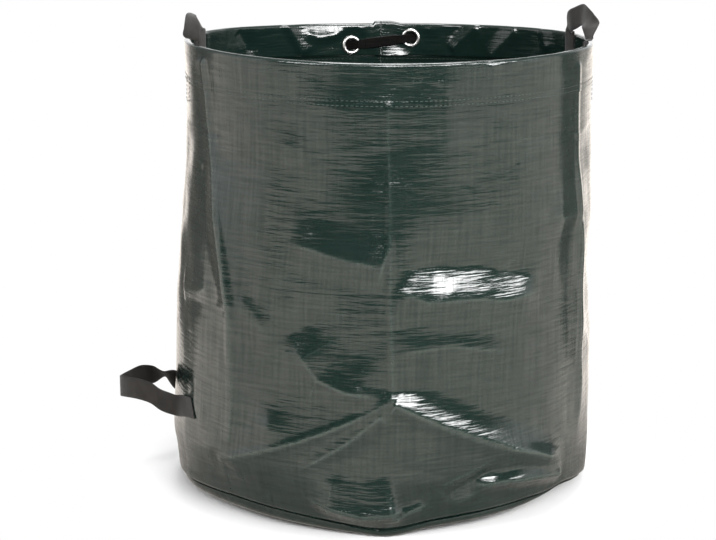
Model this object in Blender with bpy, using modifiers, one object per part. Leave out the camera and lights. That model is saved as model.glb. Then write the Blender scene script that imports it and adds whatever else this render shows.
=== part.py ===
"""A pop up leaf bag: a tub of woven fabric, held open by a springy hoop in its hem, with webbing handles.

Lengths are in metres and +Z is up. The origin is the middle of the base, on the floor, and the lapped seam of the
wall faces +Y.
"""

import math

import bmesh
import bpy
from mathutils import Matrix, Vector

# Overall sizes
bag_height = 0.740
rim_radius = 0.335
belly_bulge = 0.0175
corner_radius = 0.024

# How the standing bag leans: the rim's middle, and where the hoop and the lower edge rise
rim_offset = 0.006
rim_lift_left = 0.008
rim_lift_right = 0.004
edge_lift = 0.026
edge_lift_heading = math.radians(-42)
edge_lift_reach = math.radians(40)
edge_lift_height = 0.22
lift_start_share = 0.62

# Fabric, and the clearance between pieces that touch
fabric = 0.0008
clearance = 0.0003
lap_width = 0.025
lap_ease = 0.016

# Rows of the wall from the corner to the mouth: height and belly as shares, lean as a share of the rim's offset
wall_shares = (
    (0.000, 0.20, 0.00),
    (0.032, 0.44, -0.25),
    (0.074, 0.70, -0.67),
    (0.130, 1.00, -1.30),
    (0.257, 0.84, -1.00),
    (0.400, 0.72, -0.75),
    (0.490, 0.55, -0.55),
    (0.630, 0.36, 0.40),
    (0.770, 0.06, 1.00),
    (0.850, 0.00, 1.00),
    (1.000, 0.00, 1.00),
)

# Folds of the slack fabric: how far the largest stands out, how wide it is on each side, and the height over which
# they run out into the lower edge and the sewn ends of the handles
fold_rise = 0.0110
fold_width = 0.0900
fold_ease = 0.0500

# Each fold's start and end, both as a share of a turn from the front and a share of the height; its rise as a share,
# dents less than zero; and the shares of the width on its left and right, seen along it from outside
fold_shares = (
    (0.001, 0.301, -0.007, 0.900, 0.55, 0.95, 0.75),
    (0.001, 0.301, -0.132, 0.112, 0.80, 0.60, 0.85),
    (0.001, 0.301, 0.125, 0.125, 1.00, 0.50, 1.10),
    (-0.055, 0.130, -0.020, 0.140, 0.75, 0.60, 0.60),
    (0.010, 0.140, 0.055, 0.125, 0.60, 0.60, 0.60),
    (-0.125, 0.180, -0.130, 0.480, 0.40, 0.50, 0.50),
    (-0.130, 0.480, -0.168, 0.900, 0.55, 0.50, 0.55),
    (-0.003, 0.600, 0.115, 0.575, 0.38, 0.55, 0.45),
    (0.010, 0.515, 0.075, 0.500, -0.42, 0.45, 0.45),
    (0.170, 0.900, 0.178, 0.200, 0.40, 0.50, 0.50),
    (-0.105, 0.380, -0.060, 0.460, -0.22, 0.50, 0.50),
    (-0.222, 0.850, -0.235, 0.400, -0.18, 0.60, 0.60),
    (-0.300, 0.880, -0.285, 0.420, 0.50, 0.60, 0.50),
    (-0.345, 0.760, -0.362, 0.360, -0.45, 0.60, 0.55),
    (-0.395, 0.900, -0.405, 0.330, 0.62, 0.60, 0.60),
    (-0.440, 0.540, -0.430, 0.120, -0.45, 0.55, 0.70),
    (-0.478, 0.860, -0.490, 0.350, 0.42, 0.60, 0.50),
    (0.222, 0.840, 0.238, 0.420, -0.20, 0.55, 0.60),
    (0.272, 0.580, 0.264, 0.160, 0.40, 0.50, 0.60),
    (0.305, 0.880, 0.298, 0.380, 0.50, 0.55, 0.60),
    (0.350, 0.520, 0.368, 0.140, -0.50, 0.60, 0.60),
    (0.398, 0.880, 0.412, 0.440, -0.40, 0.60, 0.55),
    (0.446, 0.600, 0.436, 0.150, 0.60, 0.60, 0.60),
)

# Hem tunnel
hem_depth = 0.067
hem_bulge = 0.0084
hem_lip = 0.006
hem_slope = 0.004
wall_tuck = 0.010

# Hoop, its joint and the eyelets that it passes
hoop_width = 0.0155
hoop_thickness = 0.0025
hoop_edge = 0.0006
hoop_end_gap = 0.0010
hoop_inset = 0.0066
hoop_crossing = 0.037
hoop_dip_reach = math.radians(62)
sleeve_length = 0.056
sleeve_wall = 0.0009
eyelet_spacing = 0.108
eyelet_bore = 0.022
eyelet_flange = 0.034
eyelet_crown = 0.0021
eyelet_barrel = 0.0006
eyelet_drop_left = 0.0385
eyelet_drop_right = 0.026
washer_flange = 0.032
washer_thickness = 0.0008

# Webbing
webbing_width = 0.036
webbing = 0.0015
webbing_edge = 0.0005
handle_span = 0.180
handle_rise_right = 0.057
handle_rise_left = 0.046
sewn_length = 0.094
sewn_twist = 0.022

# Stations of a top handle from leg to middle: place along half the span, rise, how far out, and how far the
# webbing has turned from lying along the rim to lying across it
handle_lean = 0.0060
handle_shares = (
    (-1.00, 0.00, 0.00, 0.00),
    (-0.99, 0.13, 0.15, 0.08),
    (-0.95, 0.30, 0.50, 0.30),
    (-0.84, 0.52, 0.85, 0.62),
    (-0.66, 0.74, 1.00, 0.86),
    (-0.42, 0.90, 1.00, 0.96),
    (-0.20, 0.98, 1.00, 1.00),
    (0.00, 1.00, 1.00, 1.00),
)

# Tipping handle, low on the side
tip_heading = math.radians(174.5)
tip_height = 0.146
tip_span = 0.212
tip_reach = 0.086
tip_standoff = 0.012
tip_sewn_length = 0.072
tip_stub = 0.034

# Stations of the tipping handle from front to back: place along half the span, reach, rise as a share of the
# webbing's width, and turn of the webbing from upright, as a share of a right angle
tip_shares = (
    (1.00, 0.00, 0.00, 0.00),
    (0.94, 0.03, 0.01, 0.00),
    (0.86, 0.20, 0.06, 0.00),
    (0.76, 0.62, 0.16, 0.02),
    (0.60, 0.95, 0.24, 0.04),
    (0.40, 1.00, 0.30, 0.06),
    (0.12, 0.98, 0.38, 0.08),
    (-0.18, 0.88, 0.42, 0.14),
    (-0.44, 0.70, 0.30, 0.40),
    (-0.68, 0.46, 0.10, 0.62),
    (-0.82, 0.25, 0.00, 0.50),
    (-0.93, 0.04, 0.00, 0.12),
    (-1.00, 0.00, 0.00, 0.00),
)

# Steps of the rounded corner in a right angle: where the base's edge ends and the wall's edge starts
corner_steps = 6
base_edge_step = 5
wall_edge_step = 4

# Counts, and the distance within which coincident points are one
columns_round = 54
columns_back = 12
floor_steps = 4
wall_steps = 10
fold_steps = 4
ring_steps = 24
sleeve_steps = 6
webbing_steps = 22
sewn_steps = 5
sewn_columns = 4
tip_steps = 9
tip_levels = (-1, -1 / 2, 0, 1 / 2, 1)
sharp_angle = math.radians(40)
bevel_angle = math.radians(50)
cut_overrun = 0.004
weld_distance = 1e-6

# Values that follow from the sizes above
back = math.radians(90)
full_turn = 2 * math.pi
wall_rim_radius = rim_radius - fabric - clearance
belly_radius = rim_radius + belly_bulge
inner_corner = corner_radius - fabric - clearance
round_way = full_turn * rim_radius
flat_height = bag_height - max(sewn_length, hem_depth) - clearance
hem_fold = hem_bulge / 2
hem_face = rim_radius - hem_bulge
lip_face = rim_radius - 3 * fabric - 2 * clearance
eyelet_turn = eyelet_spacing / 2 / hem_face
hoop_radius = rim_radius - fabric - clearance - hoop_thickness / 2
hoop_drop = hem_fold + hoop_width / 2
rim_middle = Vector((rim_offset, 0, 0))
facet_sag = hem_face * (1 - math.cos(math.pi / columns_round))
wall_sag = belly_radius * (1 - math.cos(math.pi / columns_round)) + 2 * clearance


def clear_scene():
    for old in list(bpy.data.objects):
        bpy.data.objects.remove(old, do_unlink=True)


def new_collection(name):
    made = bpy.data.collections.new(name)
    bpy.context.scene.collection.children.link(made)
    return made


def new_material(name, colour, roughness, metallic=0.0):
    made = bpy.data.materials.new(name)
    made.use_nodes = True
    shader = made.node_tree.nodes["Principled BSDF"]
    shader.inputs["Base Color"].default_value = (*colour, 1)
    shader.inputs["Roughness"].default_value = roughness
    shader.inputs["Metallic"].default_value = metallic
    return made


def eased(share):
    """Rises smoothly from 0 to 1 as the share does."""
    kept = min(max(share, 0), 1)
    return kept * kept * (3 - 2 * kept)


def smooth_row(rows, place):
    """Reads a table of stations at any place between them, by a smooth curve through the stations."""
    last = len(rows) - 1
    low = max(i for i in range(last) if rows[i][0] <= place or i == 0)
    before, start, end, after = (rows[min(max(i, 0), last)] for i in range(low - 1, low + 3))
    span = end[0] - start[0]
    part = (place - start[0]) / span
    found = []
    for a, b, c, d in zip(before[1:], start[1:], end[1:], after[1:]):
        leave = (c - a) * span / (end[0] - before[0])
        arrive = (d - b) * span / (after[0] - start[0])
        rise = part * part * (3 - 2 * part)
        found.append(
            b + (c - b) * rise + leave * part * (1 - part) ** 2 - arrive * part**2 * (1 - part)
        )
    return found


def top_at(heading):
    """Height of the mouth at a heading: the hoop springs up a little at the sides."""
    side = math.cos(heading)
    return bag_height + (rim_lift_right if side > 0 else rim_lift_left) * side * side


def edge_lift_at(heading):
    """How far the lower edge is off the floor at a heading."""
    away = abs(math.remainder(heading - edge_lift_heading, full_turn))
    return edge_lift * eased(1 - away / edge_lift_reach)


def wall_at(height):
    """Radius and lean of the wall's outer face at a height."""
    belly, lean = smooth_row(wall_shares, height / bag_height)
    radius = wall_rim_radius + (belly_radius - wall_rim_radius) * belly
    return radius, rim_offset * lean


# Radius of the flat floor, inside the rounded corner
floor_radius = wall_at(corner_radius)[0] - corner_radius


def lap_share(heading):
    """1 along the lapped seam, falling to 0 beside it."""
    away = abs(math.remainder(heading - back, full_turn)) * rim_radius
    return eased(1 - (away - lap_width / 2) / lap_ease)


def seam_headings(overlap):
    """Headings once round from the seam's start, close together at the back, with the lap again at the end."""
    half_lap = lap_width / 2 / rim_radius
    ease = lap_ease / rim_radius
    fine = hoop_crossing / 2 / rim_radius + eyelet_turn
    start = back - half_lap
    marks = [start, back, back + half_lap, back + half_lap + ease / 2]
    first = back + half_lap + ease
    steps = columns_back // 2
    marks += [first + (back + fine - first) * i / steps for i in range(steps)]
    round_span = full_turn - 2 * fine
    marks += [back + fine + round_span * i / columns_round for i in range(columns_round)]
    last = back + full_turn - half_lap - ease
    from_fine = back + full_turn - fine
    marks += [from_fine + (last - from_fine) * i / steps for i in range(steps)]
    marks += [last, last + ease / 2, start + full_turn]
    if overlap:
        marks += [start + full_turn + half_lap, start + full_turn + 2 * half_lap]
    return marks


def sheet(name, columns, rows, place, closed=False):
    """A surface through place(column, row), from a flat grid; closed joins its last column to its first."""
    grid = bmesh.new()
    across, up = len(columns) - 1, len(rows) - 1
    bmesh.ops.create_grid(grid, x_segments=across, y_segments=up, size=1)
    for point in grid.verts:
        column = columns[round((point.co.x + 1) / 2 * across)]
        row = rows[round((point.co.y + 1) / 2 * up)]
        point.co = place(column, row)
    if closed:
        bmesh.ops.remove_doubles(grid, verts=grid.verts, dist=weld_distance)
    mesh = bpy.data.meshes.new(name)
    grid.to_mesh(mesh)
    grid.free()
    return mesh


def add_piece(name, mesh, material, thickness=0.0, offset=-1.0):
    """Puts a mesh in the bag's collection; a surface is given its thickness."""
    piece = bpy.data.objects.new(name, mesh)
    bag.objects.link(piece)
    mesh.materials.append(material)
    if thickness:
        shell = piece.modifiers.new("Thickness", "SOLIDIFY")
        shell.thickness = thickness
        shell.offset = offset
        shell.use_even_offset = True
    mesh.shade_smooth()
    mesh.set_sharp_from_angle(angle=sharp_angle)
    return piece


def set_origin(piece, origin, turn=0.0):
    """Moves the piece's origin to a point of the rim's own frame, turned about the rim's axis."""
    piece.data.transform(Matrix.Translation(-origin))
    turned = Matrix.Rotation(turn, 4, "Z")
    piece.matrix_world = Matrix.Translation(rim_middle) @ turned @ Matrix.Translation(origin)


def round_edges(piece, width):
    bevel = piece.modifiers.new("Rounded", "BEVEL")
    bevel.width = width
    bevel.segments = 1
    bevel.limit_method = "ANGLE"
    bevel.angle_limit = bevel_angle
    bevel.use_clamp_overlap = True


def around_rim(heading, radius, height):
    """A point by heading, radius from the rim's axis, and height."""
    return Vector((radius * math.cos(heading), radius * math.sin(heading), height))


# Wall and base

def corner_row(step, corner):
    """Radius, height and lean of a point on the rounded corner; a smaller corner lies inside the base's own."""
    turn = back * step / corner_steps
    lean = wall_at(corner_radius * (1 - math.cos(turn)))[1]
    return floor_radius + corner * math.sin(turn), corner_radius - corner * math.cos(turn), lean


def fold_at(heading, height):
    """How far the folds stand out of the wall's plain face: of those that meet, the highest and the deepest count."""
    turn = (heading + back) / full_turn
    rise, dent = 0.0, 0.0
    for from_turn, from_height, to_turn, to_height, share, left, right in fold_shares:
        run = Vector(((to_turn - from_turn) * round_way, (to_height - from_height) * bag_height))
        away = Vector((math.remainder(turn - from_turn, 1) * round_way, height - from_height * bag_height))
        gone = away - run * min(max(away.dot(run) / run.length_squared, 0), 1)
        side = left if run.cross(away) > 0 else right
        line = fold_rise * share * eased(1 - gone.length / (fold_width * side))
        rise, dent = max(rise, line), min(dent, line)
    below, above = height - corner_radius, flat_height - height
    return (rise + dent) * eased(below / fold_ease) * eased(above / fold_ease)


def make_wall():
    edge = bag_height - hem_depth
    top = edge + wall_tuck
    rows = [corner_row(step, inner_corner) for step in range(wall_edge_step, corner_steps)]
    heights = [corner_radius + (flat_height - corner_radius) * i / wall_steps for i in range(wall_steps + 1)]
    for height in [*heights, edge, top]:
        radius, lean = wall_at(height)
        rows.append((radius, height, lean))

    def place(heading, row):
        radius, height, lean = row
        if heading < back + math.pi:
            radius -= (fabric + clearance) * lap_share(heading)
        radius += fold_at(heading, height)
        above = max(height - corner_radius, 0)
        rise = (top_at(heading) - bag_height) * above / (top - corner_radius)
        rise += edge_lift_at(heading) * eased(1 - above / edge_lift_height)
        return Vector((lean, 0, rise)) + around_rim(heading, radius, height)

    mesh = sheet("wall_panel", seam_headings(True), rows, place)
    return add_piece("wall_panel", mesh, woven_green, fabric)


def make_base():
    rows = [(floor_radius * i / floor_steps, 0.0, 0.0) for i in range(floor_steps)]
    rows += [corner_row(step, corner_radius) for step in range(base_edge_step + 1)]

    def place(heading, row):
        radius, height, lean = row
        raised = eased((radius / floor_radius - lift_start_share) / (1 - lift_start_share))
        rise = edge_lift_at(heading) * raised
        return Vector((lean, 0, rise)) + around_rim(heading, radius, height)

    mesh = sheet("base_panel", seam_headings(False), rows, place, closed=True)
    return add_piece("base_panel", mesh, woven_green, fabric)


# Hem

def hem_rows():
    """Radius and drop of the hem's visible face, up the outside, over the fold and down the inside."""
    rows = [(rim_radius, hem_depth), (rim_radius, hem_fold)]
    for i in range(1, fold_steps):
        a = math.pi * i / fold_steps
        rows.append((rim_radius - hem_fold * (1 - math.cos(a)), hem_fold * (1 - math.sin(a))))
    rows += [
        (hem_face, hem_fold),
        (hem_face, hem_depth - hem_lip - hem_slope),
        (lip_face, hem_depth - hem_lip),
        (lip_face, hem_depth),
    ]
    return rows


def make_hem():
    def place(heading, row):
        radius, drop = row
        if radius == lip_face:
            radius -= (fabric + clearance) * lap_share(heading)
        return around_rim(heading, radius, top_at(heading) - drop)

    mesh = sheet("hem_band", seam_headings(False), hem_rows(), place, closed=True)
    hem = add_piece("hem_band", mesh, woven_green, fabric)
    hem.location = rim_middle
    for side, drop in eyelet_places():
        cutter = eyelet_cutter(side, drop)
        cut = hem.modifiers.new("Eyelet hole", "BOOLEAN")
        cut.operation = "DIFFERENCE"
        cut.object = cutter
    return hem


# Hoop

def eyelet_places():
    """Side and drop of each eyelet; a side of 1 is the left one, seen from the mouth."""
    return ((1, eyelet_drop_left), (-1, eyelet_drop_right))


def hoop_path(heading):
    """Radius and height of the hoop's middle line at a heading."""
    signed = math.remainder(heading - back, full_turn)
    away = abs(signed)
    arc = (away - eyelet_turn) * hem_face
    crossed = eased(arc / hoop_crossing + 1 / 2)
    inside = hem_face + fabric / 2 - hoop_inset
    radius = inside + (hoop_radius - inside) * crossed
    dipped = eased((hoop_dip_reach - away) / (hoop_dip_reach - eyelet_turn))
    between = min(max(signed / eyelet_turn, -1), 1)
    middle = (eyelet_drop_left + eyelet_drop_right) / 2
    low = middle + (eyelet_drop_left - eyelet_drop_right) / 2 * between
    drop = hoop_drop + (low - hoop_drop) * dipped
    return radius, top_at(heading) - drop


def make_hoop():
    end = hoop_end_gap / 2 / hem_face
    marks = seam_headings(False)
    first = [m for m in marks if m > back + end]
    last = [m for m in marks if m < back - end]
    columns = [back + end] + first[:-1] + [m + full_turn for m in last]
    columns += [back + full_turn - end]

    def place(heading, side):
        radius, height = hoop_path(heading)
        return around_rim(heading, radius, height + side * hoop_width / 2)

    mesh = sheet("hoop_band", columns, (-1, 1), place)
    hoop = add_piece("hoop_band", mesh, black_plastic, hoop_thickness, 0.0)
    hoop.location = rim_middle
    round_edges(hoop, hoop_edge)
    return hoop


def make_sleeve():
    half_thick = hoop_thickness / 2 + clearance + sleeve_wall
    half_tall = hoop_width / 2 + clearance + sleeve_wall
    corner = sleeve_wall
    section = []
    for x, z in ((1, -1), (1, 1), (-1, 1), (-1, -1)):
        for early in (True, False):
            flat = x * z > 0
            dx = 0 if early == flat else corner
            dz = corner if early == flat else 0
            section.append((x * (half_thick - dx), z * (half_tall - dz)))
    section.append(section[0])
    shares = [i / sleeve_steps - 1 / 2 for i in range(sleeve_steps + 1)]
    turns = [sleeve_length * share / hem_face for share in shares]

    def place(around, turn):
        radius, height = hoop_path(back - turn)
        return around_rim(back - turn, radius + around[0], height + around[1])

    mesh = sheet("hoop_sleeve", section, turns, place, closed=True)
    sleeve = add_piece("hoop_sleeve", mesh, black_plastic, sleeve_wall)
    sleeve.location = rim_middle
    return sleeve


def eyelet_frame(side, drop):
    """Puts the Z axis through the hem's inner skin, towards the middle of the bag."""
    heading = back + side * eyelet_turn
    height = bag_height - drop
    centre = rim_middle + around_rim(heading, hem_face, height)
    return Matrix.Translation(centre) @ Matrix.Rotation(heading, 4, "Z") @ Matrix.Rotation(-back, 4, "Y")


def turned(name, profile, material):
    """A ring from (radius, height) points that run down its outer side."""
    mesh = bpy.data.meshes.new(name)
    points = [(radius, 0, height) for radius, height in profile]
    edges = [(i, (i + 1) % len(points)) for i in range(len(points))]
    mesh.from_pydata(points, edges, [])
    ring = add_piece(name, mesh, material)
    screw = ring.modifiers.new("Turned", "SCREW")
    screw.steps = ring_steps
    screw.render_steps = ring_steps
    screw.use_merge_vertices = True
    screw.merge_threshold = weld_distance
    screw.use_normal_calculate = False
    return ring


def eyelet_cutter(side, drop):
    mesh = bpy.data.meshes.new("eyelet_cutter")
    shape = bmesh.new()
    bmesh.ops.create_cone(
        shape,
        cap_ends=True,
        segments=ring_steps,
        radius1=eyelet_bore / 2 + eyelet_barrel + clearance,
        radius2=eyelet_bore / 2 + eyelet_barrel + clearance,
        depth=cut_overrun,
    )
    shape.to_mesh(mesh)
    shape.free()
    cutter = bpy.data.objects.new("eyelet_cutter", mesh)
    cutters.objects.link(cutter)
    cutter.matrix_world = eyelet_frame(side, drop)
    cutter.hide_render = True
    cutter.display_type = "WIRE"
    return cutter


def make_eyelets():
    bore, flange = eyelet_bore / 2, eyelet_flange / 2
    seat = clearance + flange * flange / 2 / hem_face
    crown = seat + eyelet_crown
    back_face = -fabric - clearance - washer_thickness
    barrel = bore + eyelet_barrel
    mid = (bore + flange) / 2
    swell = eyelet_crown / 3
    profile = [
        (mid, crown),
        (mid + (flange - mid) / 2, crown - swell / 2),
        (flange, seat + swell),
        (flange, seat),
        (barrel, seat),
        (barrel, back_face),
        (bore, back_face),
        (bore, seat),
        (bore + swell / 2, crown - swell),
        (bore + (mid - bore) / 2, crown - swell / 3),
    ]
    hole = barrel + clearance
    near = -fabric - clearance
    washer = [
        (washer_flange / 2, near),
        (washer_flange / 2, near - washer_thickness),
        (hole, near - washer_thickness),
        (hole, near),
    ]
    for side, drop in eyelet_places():
        name = "left" if side > 0 else "right"
        turned(f"eyelet_{name}", profile, chrome).matrix_world = eyelet_frame(side, drop)
        turned(f"washer_{name}", washer, chrome).matrix_world = eyelet_frame(side, drop)


# Webbing

def ribbon(name, stations, material):
    """Webbing through stations of (middle, direction across), as wide and thick as the webbing."""

    def place(station, side):
        middle, across = station
        return middle + across.normalized() * (side * webbing_width / 2)

    mesh = sheet(name, stations, (-1, 0, 1), place)
    piece = add_piece(name, mesh, material, webbing, 0.0)
    round_edges(piece, webbing_edge)
    return piece


def handle_axis(turn):
    """Where a top handle hinges, in the rim's frame: over the hem's fold, just inside it."""
    half = handle_span / 2 + webbing_width / 2
    out = math.sqrt(hem_face**2 - half**2) - facet_sag - clearance - webbing / 2
    leg = math.atan2(handle_span / 2, out)
    height = top_at(leg + turn) + webbing / 2 + clearance
    return Vector((out, 0, height))


def make_handle(name, turn, rise):
    axis = handle_axis(turn)
    mirrored = [(-along, *rest) for along, *rest in reversed(handle_shares[:-1])]
    rows = [(i, *row) for i, row in enumerate([*handle_shares, *mirrored])]
    stations = []
    for i in range(webbing_steps + 1):
        along, up, out, across = smooth_row(rows, i / webbing_steps * (len(rows) - 1))
        side = -1 if along < 0 else 1
        angle = across * back
        direction = Vector((math.sin(angle), side * math.cos(angle), 0))
        middle = axis + Vector((handle_lean * out, handle_span / 2 * along, rise * up))
        stations.append((middle, direction))
    for end in (0, -1):
        middle, direction = stations[end]
        stations[end] = (middle - Vector((0, 0, webbing_edge)), direction)
    loop = ribbon(name, stations, black_webbing)
    set_origin(loop, axis, turn)


def make_handle_end(name, turn, side):
    """The sewn end of one leg, flat on the inner face, turning parallel to the hinge line as it leaves the hem."""
    axis = handle_axis(turn)
    top = axis.z - webbing / 2 - clearance
    shares = [i / sewn_columns - 1 / 2 for i in range(sewn_columns + 1)]
    across = [side * handle_span / 2 + webbing_width * share for share in shares]
    slope_end = hem_depth - hem_lip
    slope_start = slope_end - hem_slope
    mouth = top_at(math.atan2(handle_span / 2, axis.x) + turn)
    rows = [(sewn_length, lip_face), (hem_depth, lip_face), (slope_end, lip_face)]
    for i in range(sewn_steps + 1):
        rows.append((slope_start + (mouth - top - slope_start) * i / sewn_steps, hem_face))

    def place(along, row):
        drop, face = row
        radius = face - clearance - facet_sag
        out = math.sqrt(radius**2 - along**2)
        height = top_at(math.asin(along / face) + turn) - drop
        leave = eased(1 - (top - mouth + drop) / sewn_twist)
        out += (axis.x + webbing / 2 - out) * leave
        height += (mouth - drop - height) * leave
        return Vector((out, along, height))

    mesh = sheet(name, across, rows, place)
    end = add_piece(name, mesh, black_webbing, webbing)
    set_origin(end, Vector((axis.x, side * handle_span / 2, top)), turn)


def tip_wall(along, height):
    """Distance out to the wall's outer face, in the tipping handle's frame, at a place along it."""
    radius, lean = wall_at(height)
    return math.sqrt(radius**2 - along**2) - lean


def tip_frame():
    return Matrix.Rotation(tip_heading, 4, "Z")


def tip_axis():
    """Where the tipping handle hinges: a level line that clears the wall beside its legs."""
    leg = tip_span / 2 - webbing_width / 2
    return Vector((tip_wall(leg, tip_height) + tip_standoff, 0, tip_height))


def make_tip_handle():
    axis = tip_axis()
    rows = [(k, *row) for k, row in enumerate(tip_shares)]
    stations = []
    for i in range(webbing_steps + 1):
        along, reach, up, turn = smooth_row(rows, i / webbing_steps * (len(rows) - 1))
        angle = turn * back
        direction = Vector((math.sin(angle), 0, math.cos(angle)))
        offset = Vector((tip_reach * reach, tip_span / 2 * along, webbing_width * up))
        stations.append((axis + offset, direction))
    loop = ribbon("tip_handle", stations, black_webbing)
    loop.data.transform(Matrix.Translation(-axis))
    loop.matrix_world = tip_frame() @ Matrix.Translation(axis)


def make_tip_end(name, side):
    """A sewn end on the wall's outer face, with the stub that stands off to the hinge line."""
    axis = tip_axis()
    start = side * (tip_span / 2 + clearance + webbing_edge)
    length = tip_stub + tip_sewn_length
    places = [start + side * length * i / tip_steps for i in range(tip_steps + 1)]

    def place(along, level):
        height = axis.z + side * level * webbing_width / 2
        near = tip_wall(along, height) + wall_sag + webbing / 2
        leave = eased(1 - abs(along - start) / tip_stub)
        return Vector((near + (axis.x - near) * leave, along, height))

    mesh = sheet(name, places, tip_levels, place)
    piece = add_piece(name, mesh, black_webbing, webbing, 0.0)
    round_edges(piece, webbing_edge)
    piece.matrix_world = tip_frame()


clear_scene()
bag = new_collection("pop_up_leaf_bag")
cutters = new_collection("cutters")
woven_green = new_material("woven_green", (0.018, 0.042, 0.033), 0.28)
black_plastic = new_material("black_plastic", (0.012, 0.011, 0.010), 0.40)
chrome = new_material("bright_metal", (0.80, 0.80, 0.80), 0.15, 1.0)
black_webbing = new_material("black_webbing", (0.014, 0.012, 0.011), 0.75)

make_base()
make_wall()
make_hem()
make_hoop()
make_sleeve()
make_eyelets()
make_handle("right_handle", 0.0, handle_rise_right)
make_handle("left_handle", math.pi, handle_rise_left)
for handle, turn, front in (("right", 0.0, -1), ("left", math.pi, 1)):
    make_handle_end(f"{handle}_handle_front_end", turn, front)
    make_handle_end(f"{handle}_handle_back_end", turn, -front)
make_tip_handle()
make_tip_end("tip_handle_front_end", 1)
make_tip_end("tip_handle_back_end", -1)
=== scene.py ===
"""Looks of a pop up leaf bag: glossy woven fabric with its creases, chrome eyelets, webbing and thread.

Lengths are in metres and +Z is up. The front of the bag faces -Y.
"""

import math

import bmesh
import bpy
import numpy as np
from mathutils import Matrix, Vector


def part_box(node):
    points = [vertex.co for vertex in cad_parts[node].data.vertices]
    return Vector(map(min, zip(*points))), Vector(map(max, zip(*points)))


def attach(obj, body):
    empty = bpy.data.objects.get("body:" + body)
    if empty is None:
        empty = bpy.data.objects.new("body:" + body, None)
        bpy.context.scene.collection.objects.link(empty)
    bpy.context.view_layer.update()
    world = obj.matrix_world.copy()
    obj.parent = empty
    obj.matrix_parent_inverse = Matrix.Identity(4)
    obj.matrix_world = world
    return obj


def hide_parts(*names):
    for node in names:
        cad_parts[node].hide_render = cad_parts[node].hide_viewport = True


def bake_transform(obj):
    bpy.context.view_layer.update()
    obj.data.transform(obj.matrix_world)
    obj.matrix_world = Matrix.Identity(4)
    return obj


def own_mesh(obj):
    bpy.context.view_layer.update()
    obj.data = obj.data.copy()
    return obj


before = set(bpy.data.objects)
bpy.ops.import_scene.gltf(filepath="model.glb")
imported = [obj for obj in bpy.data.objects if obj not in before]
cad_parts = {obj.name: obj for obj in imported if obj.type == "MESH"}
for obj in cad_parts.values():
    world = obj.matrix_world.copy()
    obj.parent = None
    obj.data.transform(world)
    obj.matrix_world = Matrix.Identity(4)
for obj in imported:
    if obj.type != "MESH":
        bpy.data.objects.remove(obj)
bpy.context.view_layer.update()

# Sizes that the frame gives
_, wall_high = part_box("wall_panel")
hem_low, hem_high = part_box("hem_band")
rim_axis_x = (hem_low.x + hem_high.x) / 2
rim_radius = (hem_high.x - hem_low.x) / 2
round_way = 2 * math.pi * rim_radius

# Sizes of the standing bag; the flat cloth is laid out as if it were a tube of flat_radius
bag_height = 0.740
belly_radius = 0.3525
rim_lift_left = 0.008
rim_lift_right = 0.004
fabric = 0.0008
seat = 0.0003
flat_radius = 0.340
flat_turn = 2 * math.pi * flat_radius
wall_bottom = 0.0175

# Rows of the wall from the floor to the mouth: shares of the height, of the belly and of the rim's offset
wall_shares = (
    (0.000, 0.20, 0.00),
    (0.032, 0.44, -0.25),
    (0.074, 0.70, -0.67),
    (0.130, 1.00, -1.30),
    (0.257, 0.84, -1.00),
    (0.400, 0.72, -0.75),
    (0.490, 0.55, -0.55),
    (0.630, 0.36, 0.40),
    (0.770, 0.06, 1.00),
    (0.850, 0.00, 1.00),
    (1.000, 0.00, 1.00),
)

# Camera, as fitted to the mouth and the base in the photo
photo_size = (716, 540)
focal_px = 1940
centre_px = (389.2, 270)
camera_place = Vector((-0.139, -3.197, 1.058))
camera_tilt = math.radians(77.6)
camera_yaw = math.radians(-2.6)
sensor = 36
ray_rounds = 6


def make_camera():
    data = bpy.data.cameras.new("camera")
    data.sensor_width = sensor
    data.lens = focal_px / photo_size[0] * sensor
    data.shift_x = (photo_size[0] / 2 - centre_px[0]) / photo_size[0]
    camera = bpy.data.objects.new("camera", data)
    camera.location = camera_place
    camera.rotation_euler = (camera_tilt, 0, camera_yaw)
    bpy.context.scene.collection.objects.link(camera)
    bpy.context.scene.camera = camera


def pixel_ray(px):
    """Direction from the camera through a pixel of the photo."""
    turn = Matrix.Rotation(camera_yaw, 3, "Z") @ Matrix.Rotation(camera_tilt, 3, "X")
    across = (px[0] - centre_px[0]) / focal_px
    up = (centre_px[1] - px[1]) / focal_px
    return (turn @ Vector((across, up, -1))).normalized()


def at_depth(px, depth):
    """The point seen at a pixel where y is the depth."""
    ray = pixel_ray(px)
    return camera_place + ray * ((depth - camera_place.y) / ray.y)


# Helpers for numbers

def eased(share):
    kept = np.clip(share, 0, 1)
    return kept * kept * (3 - 2 * kept)


def unit(vectors):
    return vectors / np.maximum(np.linalg.norm(vectors, axis=-1, keepdims=True), 1e-9)


def ways_along(points):
    """Length of the way from the first point to each."""
    return np.concatenate([[0], np.cumsum(np.linalg.norm(np.diff(points, axis=0), axis=1))])


def ring(middle_x, reach, heading, height):
    """Points this far out from an upright axis, at headings and heights, with x, y and z last."""
    return np.stack([middle_x + reach * np.cos(heading), reach * np.sin(heading), height], axis=-1)


def outward(heading):
    return ring(0, 1, heading, np.zeros_like(heading))


def wrapped(s):
    """Distance round from the front, kept within half a turn either way."""
    return np.mod(s + flat_turn / 2, flat_turn) - flat_turn / 2


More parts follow.
